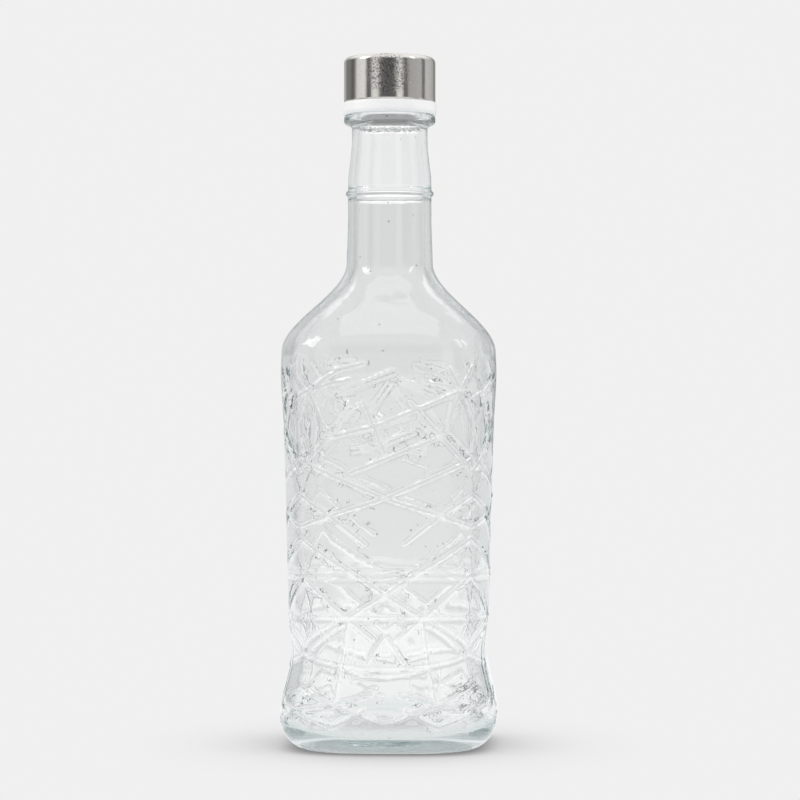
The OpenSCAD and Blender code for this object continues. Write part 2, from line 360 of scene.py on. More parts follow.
# %% [markdown]
# ## Profile of the glass
# One closed profile is enough for the whole moulding: from the middle of the base, out over the standing
# band, up the outside, over the mouth, down the bore and across the floor inside. Its rows are close
# together where the pattern and the thread are, and far apart elsewhere. The bore is narrowest at the
# mouth, where a plunger formed it, and widens a little below the bead.

# %% Profile
PUNT, PUNT_R, STAND_R = 3.0 * mm, 30.5 * mm, 34.5 * mm  # the hollow of the base, and the standing band
MID_NECK_R, TOP_NECK_R = 17.45 * mm, 15.8 * mm
RING_Z, RING_R, RING_HALF = 230.0 * mm, 18.4 * mm, 1.6 * mm
TAPER_LOW, TAPER_TOP = 234.0 * mm, 253.0 * mm  # between these heights the bore widens
BEAD_R, BEAD_LOW, BEAD_TOP = 19.1 * mm, 259.0 * mm, 262.5 * mm
ROOT_R, CREST_R, LAND_Z = 15.8 * mm, 17.0 * mm, 284.4 * mm
INNER_HEEL_R = 7.0 * mm
outline = []


def run(*points):
    outline.extend((r, z) for r, z in points)


def arc(r, z, radius, start, end, steps=4):
    """Adds an arc round (r, z), angles in degrees."""
    for k in range(steps + 1):
        a = math.radians(mix(start, end, k / steps))
        run((r + radius * math.cos(a), z + radius * math.sin(a)))


def climb(radius_at, start, end, rows):
    """Adds rows from one height to another, each with the radius that a function gives there."""
    for k in range(1, rows + 1):
        z = mix(start, end, k / rows)
        run((radius_at(z), z))


def root(z):
    return ROOT_R


def bore(z):
    return mix(BORE_R, NECK_BORE_R, float(soft((TAPER_TOP - z) / (TAPER_TOP - TAPER_LOW))))


run((0, PUNT), (12 * mm, 2.9 * mm), (22 * mm, 2.5 * mm), (27.5 * mm, 2.1 * mm), (29.3 * mm, 1.2 * mm))
run((PUNT_R, 0.15 * mm), (PUNT_R + 0.6 * mm, 0), (PUNT_R + 2.4 * mm, 0))
for a in range(0, 75, 12):
    z = HEEL_H * (1 - math.cos(math.radians(a)))
    run((half_width(z), z))
FIRST_ROW = len(outline)
for up in rows_up:
    run((half_width(up * mm), up * mm))
climb(half_width, TOP * mm, NECK_Z, 21)
run((17.9 * mm, 205 * mm), (17.7 * mm, 210 * mm), (MID_NECK_R, 217 * mm), (MID_NECK_R, 222 * mm))
run((MID_NECK_R, 226 * mm), (MID_NECK_R, RING_Z - RING_HALF))
arc(MID_NECK_R - 0.2 * mm, RING_Z, RING_R - MID_NECK_R + 0.2 * mm, -60, 60, 8)
run((MID_NECK_R, RING_Z + RING_HALF), (MID_NECK_R - 0.05 * mm, 234 * mm), (17.3 * mm, 237 * mm))
run((16.85 * mm, 241 * mm))
run((16.35 * mm, 245 * mm), (15.95 * mm, 249 * mm), (TOP_NECK_R, 252 * mm), (TOP_NECK_R, 256 * mm))
arc(TOP_NECK_R + 1.5 * mm, 257.0 * mm, 1.5 * mm, 180, 110)
arc(BEAD_R - 1.5 * mm, BEAD_LOW + 1.4 * mm, 1.5 * mm, -80, 0, 6)
arc(BEAD_R - 0.8 * mm, BEAD_TOP - 0.8 * mm, 0.8 * mm, 0, 90)
run((ROOT_R + 0.5 * mm, BEAD_TOP), (ROOT_R, BEAD_TOP + 0.5 * mm))
climb(root, BEAD_TOP + 0.5 * mm, LAND_Z - 1 * mm, 33)
arc(ROOT_R - 0.8 * mm, LAND_Z - 0.8 * mm, 0.8 * mm, 15, 90)
arc(BORE_R + 0.8 * mm, LAND_Z - 0.8 * mm, 0.8 * mm, 90, 180)
LAST_OUTER_ROW = len(outline)
climb(bore, LAND_Z - 2 * mm, TAPER_TOP, 6)
climb(bore, TAPER_TOP, TAPER_LOW, 6)
climb(bore, TAPER_LOW, NECK_Z, 8)
climb(inner_half_width, NECK_Z, SHOULDER_Z - 3 * mm, 12)
climb(inner_half_width, SHOULDER_Z - 3 * mm, FLOOR + INNER_HEEL_R, 39)
for k in range(1, 8):
    a = math.radians(90 - 90 * k / 7)
    z = FLOOR + INNER_HEEL_R * (1 - math.cos(a))
    run((FOOT_HALF - WALL - INNER_HEEL_R * (1 - math.sin(a)), z))
run((30 * mm, 7.05 * mm), (24 * mm, 7.2 * mm), (17 * mm, 7.5 * mm), (9 * mm, 7.9 * mm), (0, 8.1 * mm))
print("profile points:", len(outline), "triangles about", 2 * COLUMNS * len(outline))

# %% [markdown]
# ## Spinning the profile
# The spin is a lathe: it repeats the profile round the axis and joins the copies. `use_merge` welds the
# last copy to the first, and removing doubles closes the two poles on the axis. Each point first gets the
# number of its row in a layer of the mesh, so that the next steps know which row they are moving.


# %% Lathe
def new_piece(name, bm):
    mesh = bpy.data.meshes.new(name)
    bm.to_mesh(mesh)
    bm.free()
    obj = bpy.data.objects.new(name, mesh)
    bpy.context.scene.collection.objects.link(obj)
    mesh.shade_smooth()
    return obj


def lathed(points, steps):
    """A bmesh spun from (radius, height) points, with its poles closed and its faces pointing outwards."""
    bm = bmesh.new()
    layer = bm.verts.layers.int.new("row")
    line = [bm.verts.new((r, 0.0, z)) for r, z in points]
    for k, vert in enumerate(line):
        vert[layer] = k
    edges = [bm.edges.new(pair) for pair in zip(line, line[1:])]
    bmesh.ops.spin(
        bm, geom=line + edges, cent=(0, 0, 0), axis=(0, 0, 1), dvec=(0, 0, 0),
        angle=2 * math.pi, steps=steps, use_merge=True, use_duplicate=False,
    )
    bmesh.ops.remove_doubles(bm, verts=bm.verts, dist=1e-6)
    bmesh.ops.recalc_face_normals(bm, faces=bm.faces)
    return bm


moulding = lathed(outline, COLUMNS)
row_layer = moulding.verts.layers.int["row"]
print("points:", len(moulding.verts), "faces:", len(moulding.faces))

# %% [markdown]
# ## From round to rounded square
# Every point keeps its height and moves along its own direction from the axis, out to the rounded square.
# The columns are spaced evenly along the face instead of by angle. On the pattern's rows the points take
# their places and heights from the pulled grid. The underside starts round in the middle and turns square
# towards its rim. The inner skin counts as lying on a line, which later gives it the plain bright colour,
# because only the outside shows the pattern.

# %% Shape the skin
FAR = 9.0  # millimetres, for points that no line comes near
UNDER_ROWS, ROUND_R = 9, 28.0 * mm
rows = np.array([v[row_layer] for v in moulding.verts])
co = np.array([v.co for v in moulding.verts])
r, z = np.hypot(co[:, 0], co[:, 1]), co[:, 2]
spoke = np.round(np.arctan2(co[:, 1], co[:, 0]) * COLUMNS / (2 * math.pi)).astype(int) % COLUMNS
front = (spoke + COLUMNS // 4 + SIDE_COLUMNS) % COLUMNS
face, column = front // (2 * SIDE_COLUMNS), front % (2 * SIDE_COLUMNS)
across = column * COLUMN - CORNER
bumps = np.zeros(len(rows))
distances = np.full((3, len(rows)), FAR)
mesh_cut = np.zeros(len(rows), dtype=int)
inner = rows >= LAST_OUTER_ROW

patterned = (rows >= FIRST_ROW) & (rows < FIRST_ROW + len(rows_up))
i, j = column[patterned], rows[patterned] - FIRST_ROW
across[patterned] = grid_across[i, j]
z[patterned] = grid_up[i, j] * mm
bumps[patterned] = face_relief[i, j] * mm
distances[:, patterned] = np.array(face_distances)[:, i, j]
distances[:, inner] = 0.0
mesh_cut[patterned] = on_cut[i, j]
r[patterned] = np.array([half_width(v) for v in z[patterned]])

spacing = soft((NECK_Z - z) / (20 * mm))
even = turn_of(across)
angle = mix(across / CORNER * math.pi / 4, even, spacing) + (face - 1) * math.pi / 2
square = roundness(angle, z)
under = rows < UNDER_ROWS
square[under] = mix(1.0, square[under], soft((r[under] - ROUND_R) / (STAND_R - ROUND_R)))
r = r * square + bumps
print("pattern points:", int(patterned.sum()), "deepest cut, mm:", round(float(bumps.min()) / mm, 2))

# %% [markdown]
# The thread winds once and a half round the mouth. It's a helix, so how far a point stands out depends on
# its height and its angle together. It fades in and out over a ninth of a turn. The inner skin gets five
# slow waves of a twentieth of a millimetre each, as hot glass has where no mould touched it. They add up to
# about a fifth of a millimetre at most, and die out towards the shoulder. The floor inside gets the same
# waves in its height, but weaker.

# %% Thread and waviness
PITCH, GLASS_TURNS = 4.0 * mm, 1.5
FADE = 40 / 360  # of a turn
CREST_HALF, FLANK = 0.4 * mm, 0.6 * mm
WAVINESS, FLOOR_WAVINESS = 0.05 * mm, 0.03 * mm
THREAD_Z = LAND_Z - 0.75 * PITCH - GLASS_TURNS * PITCH
mouth = (z > THREAD_Z - PITCH) & (z < LAND_Z - 1.2 * mm) & (rows < LAST_OUTER_ROW) & (r > ROOT_R - 0.1 * mm)
turned = (angle % (2 * math.pi)) / (2 * math.pi)
for winding in range(2):
    turn = turned + winding
    faded = soft(np.minimum(turn, GLASS_TURNS - turn) / FADE)
    off = np.abs(z - THREAD_Z - turn * PITCH)
    height = (CREST_R - ROOT_R) * faded * np.clip((CREST_HALF + FLANK - off) / FLANK, 0, 1)
    r[mouth] = np.maximum(r[mouth], ROOT_R + height[mouth])

steady = soft((r - 4 * mm) / (20 * mm)) * soft((SHOULDER_Z + 4 * mm - z) / (24 * mm))
wave = np.zeros(len(rows))
for count, length, start in ((3, 31, 0.4), (5, 47, 1.9), (7, 23, 4.1), (9, 37, 2.7), (12, 19, 5.2)):
    wave += np.sin(count * angle + start) * np.sin(2 * math.pi * z / (length * mm) + 3 * start)
r[inner] += (WAVINESS * wave * steady)[inner]
z[inner] += (FLOOR_WAVINESS * wave * soft((14 * mm - z) / (6 * mm)))[inner]
for vert, x, y, up in zip(moulding.verts, r * np.cos(angle), r * np.sin(angle), z):
    vert.co = (x, y, up)
print("inner waviness up to, mm:", round(float(np.abs(WAVINESS * wave * steady).max()) / mm, 2))

# %% [markdown]
# Where two points of one line lie at opposite corners of a face, the face is split between them, so the
# bottom of a groove is an unbroken line of edges. The distances to the lines go into layers of the mesh, as
# attributes that the glass's colour can read.

# %% Crisp lines and attributes
moulding.verts.index_update()
aslant = []
for quad in moulding.faces:
    numbers = [mesh_cut[v.index] for v in quad.verts]
    if len(numbers) == 4:
        for a, b in ((0, 2), (1, 3)):
            if numbers[a] and numbers[a] == numbers[b] and not numbers[a - 1] and not numbers[b - 1]:
                aslant.append((quad, quad.verts[a], quad.verts[b]))
for quad, a, b in aslant:
    bmesh.utils.face_split(quad, a, b)
for name, values in zip(("cut_mm", "raised_mm", "star_mm"), distances):
    layer = moulding.verts.layers.float.new(name)
    for vert in moulding.verts:
        vert[layer] = values[vert.index]
print("faces split along a line:", len(aslant))

# %% [markdown]
# The glass is one moulding, so it becomes one object. It takes the place of both construction nodes of the
# glass, and moves with the body called bottle.

# %% Make it an object
bottle = new_piece("pressed_glass_bottle", moulding)
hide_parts("glass_body", "glass_neck")
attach(bottle, "bottle")
print("triangles:", sum(len(p.vertices) - 2 for p in bottle.data.polygons))

# %% [markdown]
# ## The steel cup
# The cap's cover is drawn from thin sheet steel: a flat top, a rounded edge, a straight skirt, and a lower
# edge that is turned in a little over the white ring. It's lathed as a closed section with the sheet's
# thickness. The construction node has the same sizes but flat facets, which a reflection would show.

# %% Steel cup
STEEL_R, STEEL_T, EDGE_R = 19.15 * mm, 0.4 * mm, 2.4 * mm
CUP_LOW, CUP_TOP = 268.0 * mm, 287.0 * mm
cup = [(0, CUP_TOP - 0.02 * mm), (8 * mm, CUP_TOP - 0.02 * mm), (14 * mm, CUP_TOP)]
cup.append((STEEL_R - EDGE_R - 0.5 * mm, CUP_TOP))
for k in range(0, 11):
    a = math.radians(90 - 9 * k)
    cup.append((STEEL_R - EDGE_R + EDGE_R * math.cos(a), CUP_TOP - EDGE_R + EDGE_R * math.sin(a)))
cup += [(STEEL_R, mix(CUP_TOP - EDGE_R, CUP_LOW + 1.0 * mm, k / 6)) for k in range(1, 7)]
cup += [(STEEL_R - 0.02 * mm, CUP_LOW + 0.55 * mm), (STEEL_R - 0.08 * mm, CUP_LOW + 0.25 * mm)]
cup += [(STEEL_R - 0.2 * mm, CUP_LOW + 0.05 * mm), (STEEL_R - STEEL_T + 0.06 * mm, CUP_LOW + 0.02 * mm)]
INSIDE_R = EDGE_R - STEEL_T
cup += [(STEEL_R - STEEL_T, CUP_LOW + 0.2 * mm), (STEEL_R - STEEL_T, CUP_TOP - EDGE_R)]
for k in range(1, 7):
    a = math.radians(15 * k)
    cup.append((STEEL_R - EDGE_R + INSIDE_R * math.cos(a), CUP_TOP - EDGE_R + INSIDE_R * math.sin(a)))
cup += [(8 * mm, CUP_TOP - STEEL_T), (0, CUP_TOP - STEEL_T)]
steel_cup = new_piece("steel_cap_cup", lathed(cup, 128))
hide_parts("cap_shell")
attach(steel_cup, "cap")
print("cup triangles:", sum(len(p.vertices) - 2 for p in steel_cup.data.polygons))

# %% [markdown]
# ## Shader arithmetic
# A material is a graph of nodes. Written as nodes and links it soon becomes unreadable, so a small class
# wraps a socket and lets `+`, `-`, `*`, `/`, `**` and `abs` add the Math nodes. Every other node comes from
# one method, which takes the node's type, its settings and what goes into its sockets.


# %% A socket that can be calculated with
class Value:
    def __init__(self, tree, socket):
        self.tree, self.socket = tree, socket

    def _math(self, operation, *items):
        node = self.tree.nodes.new("ShaderNodeMath")
        node.operation = operation
        for slot, item in zip(node.inputs, items):
            if isinstance(item, Value):
                self.tree.links.new(item.socket, slot)
            else:
                slot.default_value = item
        return Value(self.tree, node.outputs[0])

    def __add__(self, other):
        return self._math("ADD", self, other)

    def __radd__(self, other):
        return self._math("ADD", other, self)

    def __sub__(self, other):
        return self._math("SUBTRACT", self, other)

    def __rsub__(self, other):
        return self._math("SUBTRACT", other, self)

    def __mul__(self, other):
        return self._math("MULTIPLY", self, other)

    def __rmul__(self, other):
        return self._math("MULTIPLY", other, self)

    def __truediv__(self, other):
        return self._math("DIVIDE", self, other)

    def __pow__(self, other):
        return self._math("POWER", self, other)

    def __abs__(self):
        return self._math("ABSOLUTE", self)


class Graph:
    """A node tree, with one way to add any node and one to feed a socket."""

    def __init__(self, owner):
        owner.use_nodes = True
        self.owner, self.tree = owner, owner.node_tree

    def node(self, kind, settings=None, out=0, **sockets):
        """Adds a node. A socket is named with _ for a space, or by its number, as in _0."""
        node = self.tree.nodes.new(kind)
        for key, value in (settings or {}).items():
            if key == "stops":
                self.stops(node.color_ramp, value)
            else:
                setattr(node, key, value)
        for key, value in sockets.items():
            self.feed(node.inputs[int(key[1:]) if key[1:].isdigit() else key.replace("_", " ")], value)
        return Value(self.tree, node.outputs[out])

    def stops(self, ramp, stops):
        while len(ramp.elements) < len(stops):
            ramp.elements.new(0.5)
        for element, (place, grey) in zip(ramp.elements, stops):
            element.position = place
            element.color = grey if isinstance(grey, tuple) else (grey, grey, grey, 1.0)

    def feed(self, socket, value):
        if isinstance(value, Value):
            self.tree.links.new(value.socket, socket)
        else:
            socket.default_value = value

    def blend(self, factor, first, second):
        """A colour between two others."""
        return self.node(
            "ShaderNodeMix", {"data_type": "RGBA"}, out=2, _0=factor, _6=first, _7=second,
        )

    def steps(self, low, high, value):
        """A soft step: 0 below low, 1 above high."""
        settings = {"interpolation_type": "SMOOTHSTEP"}
        return self.node("ShaderNodeMapRange", settings, Value=value, From_Min=low, From_Max=high)

    def noise(self, place, scale, detail=2.0, roughness=0.5):
        return self.node("ShaderNodeTexNoise", Vector=place, Scale=scale, Detail=detail, Roughness=roughness)

    def place(self):
        return self.node("ShaderNodeTexCoord", out="Object")

    def parts(self, vector):
        """The three parts of a vector."""
        return [self.node("ShaderNodeSeparateXYZ", out=k, _0=vector) for k in range(3)]

    def ray(self, kind):
        """1 for rays of one kind, such as Camera or Diffuse, and 0 for the others."""
        return self.node("ShaderNodeLightPath", out=f"Is {kind} Ray")

    def distance(self, place, centre):
        return self.node("ShaderNodeVectorMath", {"operation": "DISTANCE"}, out=1, _0=place, _1=centre)

    def bump(self, height, depth, strength=1.0):
        return self.node("ShaderNodeBump", Height=height, Strength=strength, Distance=depth)


class Finish(Graph):
    """A material with one Principled shader."""

    def __init__(self, name):
        super().__init__(bpy.data.materials.new(name))
        self.material = self.owner
        self.shader = self.tree.nodes["Principled BSDF"]
        self.output = self.tree.nodes["Material Output"]

    def set(self, **sockets):
        for key, value in sockets.items():
            self.feed(self.shader.inputs[key.replace("_", " ")], value)

    def stretched(self, across, along):
        return self.node("ShaderNodeMapping", Vector=self.place(), Scale=(across, across, along))


print("shader helpers ready")

# %% [markdown]
# ## Glass
# Clear flint glass still has a faint body colour, which shows where one looks along the wall: at the sides,
# the shoulder and the base. It comes from absorption inside the glass, so it deepens with the thickness.
# The skin's colour is painted as well, and changes with the height: grey over the body, partly the glass's
# faint colour and partly painted shade, darker from the shoulder up to the ring on the neck, a blue-green
# painted shade in the thick base above a painted bright band at its bottom edge, and clear above the ring.
# Looked at aslant it is painted darker and bluer, as painted shade for the glass's dark edges. A cut is
# painted bright, as a painted highlight, with a thin grey line of painted shade in its bottom, which fades
# towards a star, and a raised line has a bright painted highlight with painted shade on its flanks. The
# painted highlight of the cuts is broken up in places.

# %% Glass material
# Tone of the painted shade at the glass's edges.
EDGE_SHADE = (0.38, 0.48, 0.50, 1.0)
# Tones by height: painted shade over the body, the shoulder, the lower neck and the base slab, and a painted
# bright band at the bottom of the base.
SHADE_AND_LIGHT_BY_HEIGHT = [  # place on the way up the bottle, from 0 to 1, and tone
    (0.0, 1.0), (0.015, 1.0), (0.023, (0.66, 0.735, 0.73, 1.0)), (0.034, (0.69, 0.755, 0.75, 1.0)),
    (0.050, 0.885), (0.27, 0.885), (0.38, 0.865), (0.55, 0.87), (0.60, 0.835), (0.66, 0.84), (0.71, 0.83),
    (0.782, 0.83), (0.797, 1.0),
]
# The first of these is the clear tone of the inner skin and the painted highlight of the lines, the second is
# painted shade, and the third is for dark marks in the glass and for dashes of painted shade.
CLEAR_AND_HIGHLIGHT, SHADE_GREY, DARK = (1.0, 1.0, 1.0, 1.0), (0.71, 0.73, 0.74, 1.0), (0.02, 0.03, 0.035, 1.0)
glass = Finish("clear_flint_glass")
where = glass.place()
right, back, up = glass.parts(where)
tone = glass.node("ShaderNodeValToRGB", {"stops": SHADE_AND_LIGHT_BY_HEIGHT}, Fac=up / 0.29)
# Seen aslant the skin is painted darker and bluer: painted shade for the glass's dark edges, partly standing
# for its body colour along the wall.
edge_on = glass.node("ShaderNodeLayerWeight", Blend=0.35, out=1)
tone = glass.blend(edge_on ** 2.0, tone, EDGE_SHADE)


def distance_attribute(name):
    return glass.node("ShaderNodeAttribute", {"attribute_name": name}, out=2)


from_cut, from_raised, from_star = (distance_attribute(name) for name in ("cut_mm", "raised_mm", "star_mm"))
# Along each cut the glass is painted bright, a painted highlight that a noise breaks up in places. A thin
# grey line of painted shade lies in the cut's bottom and fades towards a star.
broken_highlight = 0.55 + 0.45 * glass.steps(0.40, 0.60, glass.noise(where, 70.0, detail=1.0))
tone = glass.blend((1 - glass.steps(0.9, 1.6, from_cut)) * broken_highlight, tone, CLEAR_AND_HIGHLIGHT)
core = (1 - glass.steps(0.25, 0.75, from_cut)) * glass.steps(0.8, 2.4, from_star)
tone = glass.blend(core * 0.7, tone, SHADE_GREY)
# A raised line is painted with a bright highlight along its top and with painted shade on its flanks.
flank = glass.steps(0.7, 1.2, from_raised) * (1 - glass.steps(1.2, 1.8, from_raised))
tone = glass.blend(flank * 0.7, tone, SHADE_GREY)
tone = glass.blend(1 - glass.steps(0.3, 0.8, from_raised), tone, CLEAR_AND_HIGHLIGHT)

# %% [markdown]
# Pressed glass also holds a few seeds, which are pinhead bubbles, and short dark creases beside the cuts,
# where the hot skin folded. A crease is a piece of a contour line of a noise. A seed is the middle of a
# Voronoi cell. Dashes of painted shade run along the edges of the cuts. Chill marks, which are slanted
# streaks from a cold spot of the mould, lie near the foot at one corner: they are contour lines of a noise
# that is stretched aslant.

# %% Seeds, creases and dashes
CHILL_PLACE = (0.037, -0.036, 0.025)
off_contour = abs(glass.noise(where, 150.0, detail=2.0, roughness=0.6) - 0.5)
patches = glass.steps(0.53, 0.58, glass.noise(where, 90.0, detail=1.0))
beside = glass.steps(0.8, 1.4, from_cut) * (1 - glass.steps(2.6, 3.6, from_cut))
crease = (1 - glass.steps(0.003, 0.014, off_contour)) * patches * beside
# Dashes of painted shade run along the edges of the cuts, broken up by a noise.
dashes = glass.steps(0.51, 0.56, glass.noise(where, 80.0, detail=1.0))
shade_dashes = glass.steps(1.05, 1.25, from_cut) * (1 - glass.steps(1.35, 1.7, from_cut)) * dashes
slanted = glass.node(
    "ShaderNodeMapping", {"vector_type": "TEXTURE"}, Vector=where, Rotation=(0.0, -0.6, 0.0),
    Scale=(0.016, 0.006, 0.0022),
)
off_streak = abs(glass.noise(slanted, 1.0, detail=1.0) - 0.5)
chilled = 1 - glass.steps(0.008, 0.013, glass.distance(where, CHILL_PLACE))
broken = glass.steps(0.46, 0.50, glass.noise(where, 170.0, detail=1.0))
streak = (1 - glass.steps(0.010, 0.035, off_streak)) * chilled * broken
seed_spot = glass.node("ShaderNodeTexVoronoi", Vector=where, Scale=150.0)
seed = (1 - glass.steps(0.045, 0.07, seed_spot)) * glass.steps(0.5, 1.0, from_cut)
tone = glass.blend(crease * 0.9 + seed * 0.7, tone, DARK)
tone = glass.blend(streak * 0.8 + shade_dashes * 0.32, tone, DARK)
print("marks in the glass: creases, seeds, dashes and chill marks")

# %% [markdown]
# Pressed glass is never quite flat, so a slow bump lies over it, with fine wrinkles in a narrow band under
# the bead. The underside is stippled, as bottle makers do so that it doesn't crack on a hot conveyor. The
# body colour is absorption inside the glass, so thick places are deeper in colour.

# %% Ripple, stipple and body colour
under_bead = glass.steps(0.253, 0.2555, up) * (1 - glass.steps(0.2575, 0.2585, up))
ripple = glass.noise(where, 110.0, detail=1.0) + 0.25 * glass.noise(where, 420.0, detail=1.0)
wrinkle = glass.noise(where, 700.0, detail=2.0) * under_bead
waves = glass.bump(ripple + wrinkle, 0.00008)
widest = glass.node("ShaderNodeMath", {"operation": "MAXIMUM"}, _0=abs(right), _1=abs(back))
stippled = (1 - glass.steps(0.0344, 0.0354, widest)) * (1 - glass.steps(0.0031, 0.0036, up))
glass.set(Base_Color=tone, Roughness=stippled * 0.4, IOR=1.5, Transmission_Weight=1.0, Normal=waves)
absorbing = glass.node("ShaderNodeVolumeAbsorption", Color=(0.81, 0.88, 0.885, 1.0), Density=15.0)
glass.feed(glass.output.inputs["Volume"], absorbing)
bottle.data.materials.append(glass.material)
print("glass material ready")

# %% [markdown]
# ## Steel
# The cup is drawn from rolled sheet, so faint upright drawing marks and a fine grain lie over it. One patch
# at the front is rougher and has dark blotches, which breaks the reflections up. The gloss varies a little
# from place to place.

# %% Steel material
FRONT_PATCH_PLACE = (0.0, -0.019, 0.279)
steel = Finish("satin_steel")
brushed = steel.noise(steel.stretched(2500.0, 160.0), 1.0, detail=2.0)
grain = steel.noise(steel.place(), 3000.0, detail=2.0, roughness=0.7)
cloud = steel.noise(steel.place(), 160.0, detail=2.0)
front_patch = 1 - steel.steps(0.007, 0.0105, steel.distance(steel.place(), FRONT_PATCH_PLACE))
tone = steel.blend(steel.steps(0.34, 0.60, grain), (0.58, 0.565, 0.54, 1.0), (0.70, 0.68, 0.65, 1.0))
blots = front_patch * steel.steps(0.46, 0.62, steel.noise(steel.place(), 1300.0, detail=3.0, roughness=0.7))
tone = steel.blend(blots * 0.9, tone, (0.22, 0.21, 0.195, 1.0))
dents = steel.bump(brushed * 0.6 + grain * (0.1 + front_patch * 1.5), 0.000022)
steel.set(Base_Color=tone, Metallic=1.0, Roughness=0.09 + cloud * 0.08, Normal=dents)
steel_cup.data.materials.append(steel.material)
print("steel material ready")

# %% [markdown]
# ## White insert and seal
# The insert is moulded from glossy white plastic, with a very fine grain from the mould. Light soaks
# through such plastic and leaves it again, so it has subsurface scattering. It also has a weak glow, which
# is painted light that brightens the white, and its lower edge, which lies in shade, is greyer. The sealing
# disc is a foamed plastic: a little darker, matt and pitted. Both keep their construction meshes and get
# only a material.

# %% Plastic and seal
plastic = Finish("white_moulded_plastic")
speck = plastic.noise(plastic.place(), 900.0, detail=3.0)
low_edge = 1 - plastic.steps(0.2626, 0.2650, plastic.parts(plastic.place())[2])
tone = plastic.blend(plastic.noise(plastic.place(), 60.0), (0.73, 0.735, 0.74, 1.0), (0.80, 0.80, 0.795, 1.0))
tone = plastic.blend(low_edge * 0.8, tone, (0.60, 0.63, 0.64, 1.0))
moulded = plastic.bump(speck, 0.00002, strength=0.4)
plastic.set(Base_Color=tone, Roughness=0.26 + speck * 0.12, Normal=moulded)
plastic.set(Subsurface_Weight=1.0, Subsurface_Radius=(1.0, 1.0, 1.0), Subsurface_Scale=0.003)
# The glow is painted light: the plastic gives off its own tone at a fifth of full strength.
plastic.set(Emission_Color=tone, Emission_Strength=0.2)

seal = Finish("foamed_seal")
cells = seal.node("ShaderNodeTexVoronoi", Vector=seal.place(), Scale=1400.0)
tone = seal.blend(cells, (0.70, 0.70, 0.67, 1.0), (0.88, 0.88, 0.85, 1.0))
pitted = seal.bump(cells, 0.00008, strength=0.5)
seal.set(Base_Color=tone, Roughness=0.75, Normal=pitted)


def dress(node, finish):
    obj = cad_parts[node]
    obj.data.materials.clear()
    obj.data.materials.append(finish.material)


dress("cap_insert", plastic)
dress("cap_liner", seal)
print("dressed: cap_insert, cap_liner")

# %% [markdown]
# ## Studio
# The bottle stands on pale paper in front of a pale wall. The camera sees one even tone of both. Glass
# takes its whole look from what lies behind and around it, so for the other rays the room is drawn in more
# detail. What is seen through the glass is pale near the horizon and darker overhead, has a bright strip a
# little above the horizon behind the bottle, and is darker where rays leave aslant, which gives the glass
# its dark edges. Straight out to the sides it stays pale, so that a view from the side isn't grey. What is
# mirrored has panels of light and dark all round, as a studio with soft boxes and black cards, and a soft
# light overhead.

# %% Room
BACKDROP = 0.871
ASLANT_TONE = (0.42, 0.46, 0.47, 1.0)
STRIP_TONE = (1.35, 1.35, 1.35, 1.0)
OVERHEAD_TONE = (1.25, 1.25, 1.25, 1.0)
HEIGHT_LIGHT = [(0.0, 0.86), (0.57, 0.86), (0.62, 0.74), (0.70, 0.58), (1.0, 0.56)]
PANELS = [  # place round the horizon, where 0.5 is straight in front of the bottle, and brightness
    (0.0, 0.50), (0.095, 0.55), (0.12, 0.27), (0.185, 0.25), (0.20, 0.15), (0.23, 0.17), (0.255, 0.90),
    (0.325, 1.05), (0.345, 0.14), (0.37, 0.14), (0.385, 1.0), (0.425, 0.95), (0.44, 0.14), (0.552, 0.14),
    (0.562, 1.05), (0.597, 1.0), (0.605, 0.13), (0.63, 0.15), (0.642, 0.50), (0.75, 0.60), (0.757, 0.20),
    (0.782, 0.24), (0.79, 0.74), (0.845, 0.66), (0.90, 0.50), (0.91, 0.26), (1.0, 0.45),
]
room = Graph(bpy.data.worlds.new("studio"))
bpy.context.scene.world = room.owner
east, north, height = room.parts(room.node("ShaderNodeTexCoord", out="Generated"))
seen_through = room.node("ShaderNodeValToRGB", {"stops": HEIGHT_LIGHT}, Fac=height * 0.5 + 0.5)
behind = room.steps(0.92, 0.955, north)
strip = room.steps(0.115, 0.15, height) * (1 - room.steps(0.21, 0.27, height)) * behind
seen_through = room.blend(strip * 0.8, seen_through, STRIP_TONE)
turn = room.node("ShaderNodeMath", {"operation": "ARCTAN2"}, _0=east, _1=-1 * north)
off_side = abs(abs(turn) - math.pi / 2)
clear_of_side = room.steps(0.15, 0.30, off_side)
aslant = room.steps(0.55, 1.0, abs(turn)) * (1 - room.steps(1.75, 2.50, abs(turn))) * clear_of_side
seen_through = room.blend(aslant, seen_through, ASLANT_TONE)
panels = room.node("ShaderNodeValToRGB", {"stops": PANELS}, Fac=turn / (2 * math.pi) + 0.5)
mirrored_room = room.blend(room.steps(0.25, 0.7, height), panels, OVERHEAD_TONE)
tone = room.blend(room.ray("Transmission"), mirrored_room, seen_through)
tone = room.blend(room.ray("Diffuse"), tone, (0.80, 0.80, 0.80, 1.0))
tone = room.blend(room.ray("Camera"), tone, (BACKDROP, BACKDROP, BACKDROP * 0.998, 1.0))
room.feed(room.tree.nodes["Background"].inputs["Color"], tone)
print("room: panels of light for reflections, even tone for the camera")

# %% [markdown]
# The floor glows by itself with the backdrop's tone, so its far edge can't be seen, and it darkens where
# the bottle stands close above it. Ambient occlusion measures that closeness, so the shadow is soft and
# belongs to the object's own shape in every pose. Seen through the glass, the shadow is weaker, the floor
# near the bottle is a little brighter, and it is darker where the rays leave aslant, as the room is.

